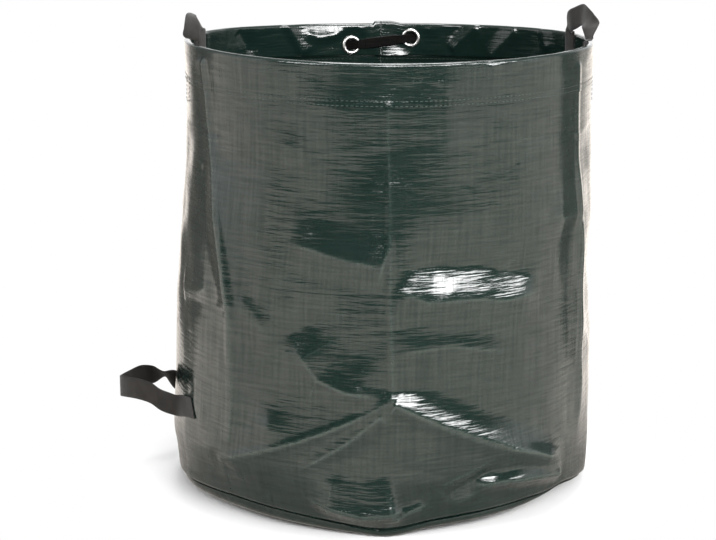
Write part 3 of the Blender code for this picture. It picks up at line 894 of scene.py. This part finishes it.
# The same for the left handle
left_strap_edges = (
    ((186.5, 38.0), -0.083, (199.6, 40.8), -0.106),
    ((182.9, 34.5), -0.079, (200.1, 35.4), -0.100),
    ((184.5, 28.5), -0.072, (200.2, 30.4), -0.092),
    ((185.4, 21.5), -0.058, (199.6, 24.6), -0.080),
    ((187.0, 14.4), -0.030, (196.3, 18.0), -0.056),
    ((190.4, 13.2), 0.000, (195.6, 15.2), -0.030),
    ((195.0, 15.4), 0.036, (197.2, 20.2), 0.006),
    ((199.0, 22.0), 0.070, (199.8, 26.0), 0.040),
    ((202.6, 28.0), 0.096, (199.6, 30.6), 0.064),
)

# The tipping handle's edges from its front end to its back one: pixel and depth of the top edge, then of the
# bottom edge; no depth means that the edge lies on the wall
tip_strap_edges = (
    ((192.0, 399.2), None, (195.6, 421.5), None),
    ((184.0, 396.6), None, (186.0, 419.0), None),
    ((176.5, 394.2), -0.104, (176.5, 416.4), -0.104),
    ((168.5, 391.8), -0.098, (167.0, 413.4), -0.098),
    ((160.0, 388.8), -0.094, (159.6, 409.8), -0.094),
    ((151.0, 382.4), -0.086, (150.6, 403.4), -0.086),
    ((138.0, 378.2), -0.068, (138.0, 399.2), -0.068),
    ((126.0, 376.2), -0.044, (126.5, 397.0), -0.044),
    ((120.4, 375.2), -0.020, (121.0, 396.0), -0.020),
    ((121.5, 374.6), 0.000, (122.5, 394.6), 0.000),
    ((130.0, 370.4), 0.034, (131.0, 389.6), 0.034),
    ((141.0, 365.4), 0.066, (143.0, 384.0), 0.070),
    ((152.0, 366.8), 0.090, (153.6, 381.6), 0.098),
    ((163.0, 371.6), 0.096, (164.6, 375.8), 0.122),
    ((169.5, 371.4), 0.112, (169.5, 381.0), 0.130),
    ((175.5, 371.2), 0.128, (175.5, 388.0), 0.132),
    ((185.0, 371.6), 0.146, (185.0, 391.0), 0.148),
)
tip_back_turns = (-119, -124, -129, -133)
tip_back_heights = (0.158, 0.122)
wall_stand_off = 0.0018


def hem_point(side, along, drop):
    """A point of a leg on the hem's inner face: side is 1 on the right; along is how far from the middle."""
    height = bag_height + (rim_lift_right if side > 0 else rim_lift_left) - drop
    reach = (hem_face if drop < hem_depth - hem_lip else lip_face) - handle_gap
    return np.array([rim_axis_x + side * math.sqrt(reach**2 - along**2), along, height])


def strap(name, first, second):
    """A strap through stations of its two edges, as wide and thick as the webbing, with round edges."""
    first, second = np.array(first, float), np.array(second, float)
    middle = (first + second) / 2
    steps = ways_along(middle)
    wanted = np.linspace(0, steps[-1], strap_samples)
    line = curve_through(steps, middle, wanted)
    cross = unit(curve_through(steps, first - second, wanted))
    face = unit(np.cross(unit(np.gradient(line, axis=0)), cross))
    half, thick = webbing_width / 2, webbing / 2
    section = [((half - thick) * (2 * i / strap_across - 1), thick) for i in range(strap_across + 1)]
    section.append((half, 0))
    section += [(-a, -b) for a, b in section]
    points, maps = [], []
    for at, c, f, gone in zip(line, cross, face, ways_along(line)):
        for a, b in section:
            points.append(at + c * a + f * b)
            maps.append((a, gone))
    piece = add_piece(name, points, tube_faces(strap_samples, len(section)), webbed, np.array(maps))
    piece.data.set_sharp_from_angle(angle=strap_edge_angle)
    return piece


def handle_strap(side):
    """One carrying handle in a single length: down the hem's inner face at both legs, and up over the rim."""
    sign = 1 if side == "right" else -1
    edges = right_strap_edges if side == "right" else left_strap_edges
    outer = [at_depth(px, depth) for px, depth, _, _ in edges]
    inner = [at_depth(px, depth) for _, _, px, depth in edges]
    near, far = handle_span / 2 + webbing_width / 2, handle_span / 2 - webbing_width / 2
    near_first, near_second = (near, far) if sign > 0 else (far, near)
    first = [hem_point(sign, -near_first, drop) for drop in leg_drops] + outer
    second = [hem_point(sign, -near_second, drop) for drop in leg_drops] + inner
    first += [hem_point(sign, near, drop) for drop in leg_drops[::-1]]
    second += [hem_point(sign, far, drop) for drop in leg_drops[::-1]]
    piece = strap(f"{side}_handle_strap", first, second)
    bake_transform(piece)
    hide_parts(f"{side}_handle", f"{side}_handle_front_end", f"{side}_handle_back_end")


def on_fabric(turn, z):
    place, _ = fabric_place(np.array([turn]), np.array([z]), wall_stand_off)
    return place[0]


def on_wall(px):
    s, z = wall_pixel(px)
    return on_fabric(s / flat_radius, z)


def tip_strap():
    """The tipping handle in a single length, sewn flat on the wall at both ends."""
    edges = ([], [])
    for top, top_depth, low, low_depth in tip_strap_edges:
        for edge, px, depth in zip(edges, (top, low), (top_depth, low_depth)):
            edge.append(on_wall(px) if depth is None else at_depth(px, depth))
    for turn in tip_back_turns:
        for edge, z in zip(edges, tip_back_heights):
            edge.append(on_fabric(math.radians(turn), z))
    piece = strap("tip_handle_strap", *edges)
    low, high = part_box("tip_handle")
    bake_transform(piece)
    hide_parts("tip_handle", "tip_handle_front_end", "tip_handle_back_end")


# Thread

stitch_length = 0.0052
stitch_pitch = 0.0074
stitch_radius = 0.00042
stitch_out = 0.0012
hem_stitch_rows = (0.0035, 0.0110)
lip_stitch_drop = 0.064
lip_stitch_in = 0.0002
row_marks = 720
pixel_marks = 12
left_box_pixels = ((187.2, 80), (191, 82), (190.2, 106), (187.0, 104), (187.2, 80))
left_run_pixels = ((187.4, 82), (196, 86.5), (209, 89.5))
right_box_pixels = ((594.4, 80), (591.8, 81.5), (592.6, 103), (594.6, 101), (594.4, 80))
right_run_pixels = ((595, 78.2), (588, 82), (578.5, 86.5))

# Rings of a stitch: place along it as a share of its length, thickness as a share, and how proud in radii
stitch_sides = 6
stitch_rings = ((-0.5, 0.35, -1), (-0.32, 1, 0.2), (0, 1, 0.5), (0.32, 1, 0.2), (0.5, 0.35, -1))


def stitches(name, lines, material, closed=False):
    """Rows of stitches as one piece; each line is an array of places, each followed by its way out."""
    points, faces = [], []
    for line in lines:
        if closed:
            line = np.concatenate([line, line[:1]])
        gone = ways_along(line[:, :3])
        count = max(int(gone[-1] / stitch_pitch), 1)
        for i in range(count):
            middle = (i + 0.5) * gone[-1] / count
            marks = [middle] + [middle + stitch_length * share for share, _, _ in stitch_rings]
            read = np.stack([np.interp(marks, gone, column) for column in line.T], axis=-1)
            out, spots = read[0, 3:], read[1:, :3]
            side = unit(np.cross(unit(spots[-1] - spots[0]), out))
            faces += tube_faces(len(stitch_rings), stitch_sides, len(points))
            for spot, (_, share, proud) in zip(spots, stitch_rings):
                for k in range(stitch_sides):
                    a = 2 * math.pi * k / stitch_sides
                    turned = side * math.cos(a) + out * math.sin(a)
                    points.append(spot + out * proud * stitch_radius + turned * stitch_radius * share)
    return add_piece(name, points, faces, material)


def outer_line(turns, heights):
    """Places on the wall's or hem's outer face with their ways out."""
    places, _ = fabric_place(turns, heights, stitch_out)
    return np.concatenate([places, outward(turns - math.pi / 2)], axis=-1)


def pixel_line(pixels):
    """A fine line on the outer face along pixels of the photo."""
    flat = np.array([wall_pixel(px) for px in pixels])
    steps = np.linspace(0, len(flat) - 1, pixel_marks * len(flat))
    s, z = (np.interp(steps, range(len(flat)), column) for column in flat.T)
    return outer_line(s / flat_radius, z)


def make_threads():
    turns = np.linspace(-math.pi, math.pi, row_marks, endpoint=False)
    rows = [outer_line(turns, np.full_like(turns, bag_height - hem_depth + up)) for up in hem_stitch_rows]
    piece = stitches("hem_stitches", rows, hem_thread, closed=True)
    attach(piece, "rim")
    headings = turns - math.pi / 2
    places = ring(rim_axis_x, lip_face - lip_stitch_in, headings, top_at(headings) - lip_stitch_drop)
    line = np.concatenate([places, -outward(headings)], axis=-1)
    piece = stitches("lip_stitches", [line], thread, closed=True)
    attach(piece, "rim")
    lines = [pixel_line(p) for p in (left_box_pixels, left_run_pixels, right_box_pixels, right_run_pixels)]
    piece = stitches("handle_stitches", lines, thread)
    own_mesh(piece)
    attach(piece, "base")


# Shader nodes

class Wire:
    """One output of a shader node. A sum with wires adds the nodes that work it out."""

    def __init__(self, tree, node, key=0):
        self.tree = tree
        self.node = node
        self.key = key

    def maths(self, operation, other=0.0):
        return self.tree.add("Math", {0: self, 1: other}, operation=operation)

    def __add__(self, other):
        return self.maths("ADD", other)

    def __sub__(self, other):
        return self.maths("SUBTRACT", other)

    def __rsub__(self, other):
        return self.tree.add("Math", {0: other, 1: self}, operation="SUBTRACT")

    def __mul__(self, other):
        return self.maths("MULTIPLY", other)

    def __truediv__(self, other):
        return self.maths("DIVIDE", other)

    def spread(self, low, high, to_low=0.0, to_high=1.0, **settings):
        """Goes from to_low to to_high as this wire goes from low to high."""
        limits = {"From Min": low, "From Max": high, "To Min": to_low, "To Max": to_high}
        return self.tree.add("MapRange", {"Value": self, **limits}, **settings)

    def step(self, low, high):
        """Rises smoothly from 0 to 1 as this wire goes from low to high."""
        return self.spread(low, high, interpolation_type="SMOOTHSTEP")

    def split(self):
        node = self.tree.add("SeparateXYZ", {"Vector": self}).node
        return [Wire(self.tree, node, key) for key in "XYZ"]

    def stretched(self, across, along, up=1):
        return self.tree.add("Mapping", {"Vector": self, "Scale": (across, along, up)})

    def noise(self, scale, detail, rough=0.5):
        inputs = {"Vector": self, "Scale": scale, "Detail": detail, "Roughness": rough}
        return self.tree.add("TexNoise", inputs, "Fac")

    def grain(self, across, along, detail, rough=0.5):
        """Noise that changes this often in a metre across and along the cloth."""
        return self.stretched(across, along).noise(1.0, detail, rough)

    def bump(self):
        return self.tree.add("Bump", {"Height": self, "Distance": 1.0, "Strength": 1.0})

    def mix(self, first, second):
        """The first colour where this wire is 0, and the second where it is 1."""
        return self.tree.add("Mix", {0: self, 6: first, 7: second}, 2, data_type="RGBA")

    def choose(self, first, second):
        """The first shader where this wire is 0, and the second where it is 1."""
        return self.tree.add("MixShader", {0: self, 1: first, 2: second})


class Tree:
    """Adds and links the nodes of a material or of the world."""

    def __init__(self, owner):
        owner.use_nodes = True
        self.owner = owner
        self.nodes = owner.node_tree.nodes

    def plug(self, value, socket):
        """Links a wire to a socket, or sets the socket. A colour has three numbers."""
        if isinstance(value, Wire):
            self.owner.node_tree.links.new(value.node.outputs[value.key], socket)
        elif socket.type == "RGBA":
            socket.default_value = (*value, 1)
        else:
            socket.default_value = value

    def add(self, kind, inputs=(), key=0, **settings):
        """Adds a node of this kind and gives its output at the key."""
        node = self.nodes.new("ShaderNode" + kind)
        for name, value in settings.items():
            setattr(node, name, value)
        for name, value in dict(inputs).items():
            self.plug(value, node.inputs[name])
        return Wire(self, node, key)

    def set(self, **inputs):
        """Sets inputs of the material's own shader and gives that shader."""
        shader = self.nodes["Principled BSDF"]
        for name, value in inputs.items():
            self.plug(value, shader.inputs[name.replace("_", " ")])
        return Wire(self, shader)


# Materials

tape = 0.0028
tape_rise = 0.00017
streak_rise = 0.00066
warp_rise = 0.45 * tape_rise
basket_rise = 0.0000125
leaf_green = (0.0036, 0.0100, 0.0080)
tape_green = (0.0056, 0.0135, 0.0110)
# Lighter green of dust and of the painted highlight on the tops of creases, and the most share of it
highlight_and_dust_green = (0.045, 0.062, 0.053)
highlight_and_dust_most = 0.35

# Grain of the tapes: how often it changes across and along the cloth in a metre, its detail and its roughness
weft_grain = (16, 1 / tape, 3.0, 0.62)
streak_grain = (16, 0.36 / tape, 2.0, 0.55)
warp_grain = (1 / tape, 12, 2.0, 0.50)
fine_weft_grain = (14, 0.62 / tape, 2.0, 0.60)
fine_warp_grain = (0.62 / tape, 9, 2.0, 0.60)
scuff_grain = (30, 120, 3.0)

# What comes of a grain: the range of it that counts, and the range that this gives, which is otherwise 0 to 1
tape_range = (0.35, 0.65)
scuff_range = (0.3, 0.7, 0.20, 0.32)
coat_range = (0.38, 0.60, 0.60, 1.0)

# Dust: the scale, detail and roughness of its noise, and its range
dust_noise = (9.0, 3.0, 0.55)
dust_range = (0.52, 0.75, 0.0, 0.22)

# Dimples of the hem's stitching: middle of its rows up the hem, reach up and down, and depth
dimple_row = 0.007
dimple_reach = (0.004, 0.011)
dimple_depth = 0.00004

# Webbing: the pitch of its ribs and yarn, how far they and its grain rise, its colours, its grain, and the
# noise and range of its dust
rib_pitch = 0.0017
yarn_pitch = 0.0012
yarn_rise = 0.00008
grain_rise = 0.0001
webbing_black = (0.0075, 0.0060, 0.0050)
webbing_dust = (0.0160, 0.0135, 0.0115)
webbing_grain = (900, 500, 3.0)
webbing_noise = (60, 3.0)
webbing_range = (0.35, 0.75)


def woven_material(name, stitched):
    """Laminated tape weave: level tapes that each tilt a little, a fine basket weave, dust, and a painted
    highlight along the tops of creases.
    """
    n = Tree(bpy.data.materials.new(name))
    cloth = n.add("TexCoord", key="UV")
    grains = (weft_grain, streak_grain, warp_grain, fine_weft_grain, fine_warp_grain)
    weft, streak, warp, fine_weft, fine_warp = (cloth.grain(*grain) for grain in grains)
    basket = n.add("TexChecker", {"Vector": cloth.stretched(1 / tape, 1 / tape), "Scale": 1.0}, "Fac")
    height = weft * tape_rise + streak * streak_rise + warp * warp_rise + basket * basket_rise
    if stitched:
        x, y, _ = cloth.split()
        beat = (x * (2 * math.pi / stitch_pitch)).maths("SINE")
        row = (y - (bag_height - hem_depth + dimple_row)).maths("ABSOLUTE")
        height = height + beat * row.spread(*dimple_reach, 1.0, 0.0) * dimple_depth
    normal = height.bump()
    # Painted highlight: the tops of creases and of the hem's fold turn lighter green, mixed with dust
    crest_highlight = n.add("Attribute", key="Fac", attribute_name="highlight_and_dust")
    dusty = cloth.noise(*dust_noise).spread(*dust_range)
    highlight_and_dust = (crest_highlight * highlight_and_dust_most).maths("MAXIMUM", dusty * highlight_and_dust_most)
    colour = highlight_and_dust.mix(weft.spread(*tape_range).mix(leaf_green, tape_green), highlight_and_dust_green)
    rough = cloth.grain(*scuff_grain).spread(*scuff_range)
    n.set(Base_Color=colour, Roughness=rough, Normal=normal, IOR=1.50, Specular_IOR_Level=0.06)
    coat = (fine_weft * 0.5 + fine_warp * 0.5).spread(*coat_range)
    n.set(Coat_Weight=coat, Coat_Roughness=0.09, Coat_IOR=1.77, Coat_Normal=normal)
    return n.owner


def webbing_material():
    """Black polypropylene webbing: ribs across it, fine yarn along it, dull with a little dust."""
    n = Tree(bpy.data.materials.new("webbing_black"))
    cloth = n.add("TexCoord", key="UV")
    x, y, _ = cloth.split()
    rib = (y * (2 * math.pi / rib_pitch)).maths("SINE")
    yarn = (x * (2 * math.pi / yarn_pitch)).maths("SINE")
    grain = cloth.grain(*webbing_grain)
    normal = (rib * yarn * yarn_rise + grain * grain_rise).bump()
    colour = cloth.noise(*webbing_noise).spread(*webbing_range).mix(webbing_black, webbing_dust)
    n.set(Base_Color=colour, Roughness=0.62, Normal=normal, Specular_IOR_Level=0.3)
    n.set(Sheen_Weight=0.12, Sheen_Roughness=0.4)
    return n.owner


def grained_material(name, grain, span, colours, rise, rough, stretch=(1, 1, 1), **others):
    """A material with a fine grain, given by scale and detail. Over the span one colour goes into the other.
    rise is its relief, and rough is a number, or a range of the grain and the range that it gives."""
    n = Tree(bpy.data.materials.new(name))
    marks = n.add("TexCoord", key="Object").stretched(*stretch).noise(*grain)
    n.set(Base_Color=marks.spread(*span).mix(*colours), Normal=(marks * rise).bump(), **others)
    n.set(Roughness=marks.spread(*rough) if isinstance(rough, tuple) else rough)
    return n.owner


# Light and surroundings. Gloss sees the paper floor as white as far as its front edge and its sides. Beyond
# them lies the studio: a dark aisle in front, a dim strip at each side, a bright back and a dim ceiling.

floor_reach = 60
floor_drop = 0.0004
floor_colour = (0.86, 0.86, 0.86)
white_range = (0.36, 0.52)
paper_front = (3.7, 4.3)
paper_side = (0.85, 1.00)
floor_tint = (1.08, 1.0, 0.92)
# Painted shadow: gloss sees the floor darkened to shade_light near the bag's foot, brightening over
# shade_range
shade_light = 0.40
shade_range = (0.36, 0.78)
aisle_light = 0.04
aisle_edge = {"floor": (0.45, 0.59), "walls": (0.93, 0.99)}
front_range = (-0.2, 0.0)
side_range = (0.0, 0.05)
strip_light = {"left": 0.22, "right": 0.20}
strip_ranges = {"left": (0.50, 0.82), "right": (0.30, 0.56)}
strip_soft = 0.10
back_light = 1.5
back_from = {"left": 0.90, "right": 0.70}
ceiling_light = 0.30
ceiling_range = (0.30, 0.50)
sky_glow = 0.62

# Each lamp's place, the point that it faces, its width and height, and its power
lamps = (
    ((0.60, -3.90, 2.05), (0.0, 0.0, 0.35), (3.40, 1.10), 190),
    ((2.80, -2.25, 1.90), (0.0, 0.0, 0.35), (3.10, 0.90), 116),
    ((-2.60, -2.20, 1.90), (0.0, 0.0, 0.35), (1.20, 0.70), 40),
    ((0.10, 0.30, 2.80), (0.0, 0.0, 0.50), (1.40, 1.00), 60),
)


def studio(x, y, edge):
    """The dark in front with its edge, the dark of the side strips and the extra light of the back."""
    reach = (x * x + y * y).maths("SQRT").maths("MAXIMUM", 0.001)
    aside, behind = x / reach, y / reach
    aisle = (1.0 - behind.step(*front_range)) * (1.0 - aside.maths("ABSOLUTE").step(*edge))
    strips, backs = [], []
    for side, (low, high) in strip_ranges.items():
        there = (aside * (1.0 if side == "right" else -1.0)).step(*side_range)
        strip = behind.step(low - strip_soft, low) * (1.0 - behind.step(high, high + strip_soft))
        strips.append(there * strip * (1 - strip_light[side]))
        backs.append(there * behind.step(back_from[side], back_from[side] + strip_soft))
    return aisle, strips[0] + strips[1], (backs[0] + backs[1]) * (back_light - 1)


def make_floor():
    mesh = bpy.data.meshes.new("floor")
    half = floor_reach / 2
    corners = [(-half, -half, 0), (half, -half, 0), (half, half, 0), (-half, half, 0)]
    mesh.from_pydata(corners, [], [(0, 1, 2, 3)])
    floor = bpy.data.objects.new("floor", mesh)
    floor.location.z = -floor_drop
    bpy.context.scene.collection.objects.link(floor)
    n = Tree(bpy.data.materials.new("floor_paper"))
    paper = n.set(Base_Color=floor_colour, Roughness=0.9, Specular_IOR_Level=0.0)
    x, y, _ = n.add("NewGeometry", key="Position").split()
    reach = (x * x + y * y).maths("SQRT")
    aisle, strips, back = studio(x, y, aisle_edge["floor"])
    off_front = (y * -1.0).step(*paper_front)
    off_side = x.maths("ABSOLUTE").step(*paper_side)
    bright = 1.0 - off_front * aisle * (1 - aisle_light) - off_side * strips
    # Painted shadow of the bag's foot in the floor's reflection
    lit = reach.step(*shade_range) * (1 - shade_light) + shade_light
    gloss = n.add("Emission", {"Color": floor_tint, "Strength": bright * lit + back})
    far = reach.step(*white_range) * n.add("LightPath", key="Is Camera Ray")
    seen = far.choose(paper, n.add("Emission"))
    surface = n.add("LightPath", key="Is Glossy Ray").choose(seen, gloss)
    n.plug(surface, n.nodes["Material Output"].inputs["Surface"])
    mesh.materials.append(n.owner)


def make_world():
    """White to the camera, soft and even for light, and the studio's walls and ceiling for gloss."""
    world = bpy.data.worlds.new("studio")
    bpy.context.scene.world = world
    n = Tree(world)
    n.nodes.clear()
    x, y, z = n.add("TexCoord", key="Generated").split()
    aisle, strips, back = studio(x, y, aisle_edge["walls"])
    walls = 1.0 - aisle * (1 - aisle_light) + back - strips
    above = z.step(*ceiling_range)
    bright = walls * (1.0 - above) + above * ceiling_light
    white, soft, gloss = (
        n.add("Background", {"Color": (1, 1, 1), "Strength": light}) for light in (1.0, sky_glow, bright)
    )
    lit = n.add("LightPath", key="Is Glossy Ray").choose(soft, gloss)
    n.add("OutputWorld", {"Surface": n.add("LightPath", key="Is Camera Ray").choose(lit, white)})


def make_lamps():
    for i, (place, aim, size, power) in enumerate(lamps):
        data = bpy.data.lights.new(f"softbox_{i}", "AREA")
        data.shape = "RECTANGLE"
        data.size, data.size_y = size
        data.energy = power
        lamp = bpy.data.objects.new(f"softbox_{i}", data)
        lamp.location = place
        lamp.rotation_euler = (Vector(aim) - Vector(place)).to_track_quat("-Z", "Y").to_euler()
        bpy.context.scene.collection.objects.link(lamp)


# The bag

bpy.context.scene.view_settings.view_transform = "Standard"
woven = woven_material("woven_green", False)
hem_woven = woven_material("hem_green", True)
webbed = webbing_material()
hoop_black = grained_material(
    "hoop_black", grain=(1.0, 4.0), stretch=(40, 40, 400), span=(0.4, 0.8), rise=0.00006,
    colours=((0.0012, 0.0010, 0.0009), (0.0034, 0.0028, 0.0024)), rough=(0.3, 0.7, 0.38, 0.55),
    Specular_IOR_Level=0.06,
)
chrome = grained_material(
    "eyelet_nickel", grain=(420, 4.0, 0.6), span=(0.45, 0.8), rise=0.00004,
    colours=((0.70, 0.69, 0.67), (0.42, 0.41, 0.39)), rough=(0.35, 0.75, 0.26, 0.40), Metallic=1.0,
)
thread = grained_material(
    "thread_brown", grain=(2400, 2.0), span=(0.35, 0.65), rise=0.0001, rough=0.55,
    colours=((0.012, 0.011, 0.009), (0.050, 0.044, 0.036)),
)
hem_thread = grained_material(
    "thread_green", grain=(2400, 2.0), span=(0.35, 0.65), rise=0.0001, rough=0.45,
    colours=((0.016, 0.028, 0.024), (0.046, 0.066, 0.058)),
)

make_camera()
make_floor()
make_world()
make_lamps()
wall_piece = make_wall()
base_piece = make_base()
hem_piece = make_hem()
make_eyelets()
for node in ("hoop_band", "hoop_sleeve"):
    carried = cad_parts[node]
    carried.data.materials.clear()
    carried.data.materials.append(hoop_black)
handle_strap("right")
handle_strap("left")
tip_strap()
make_threads()
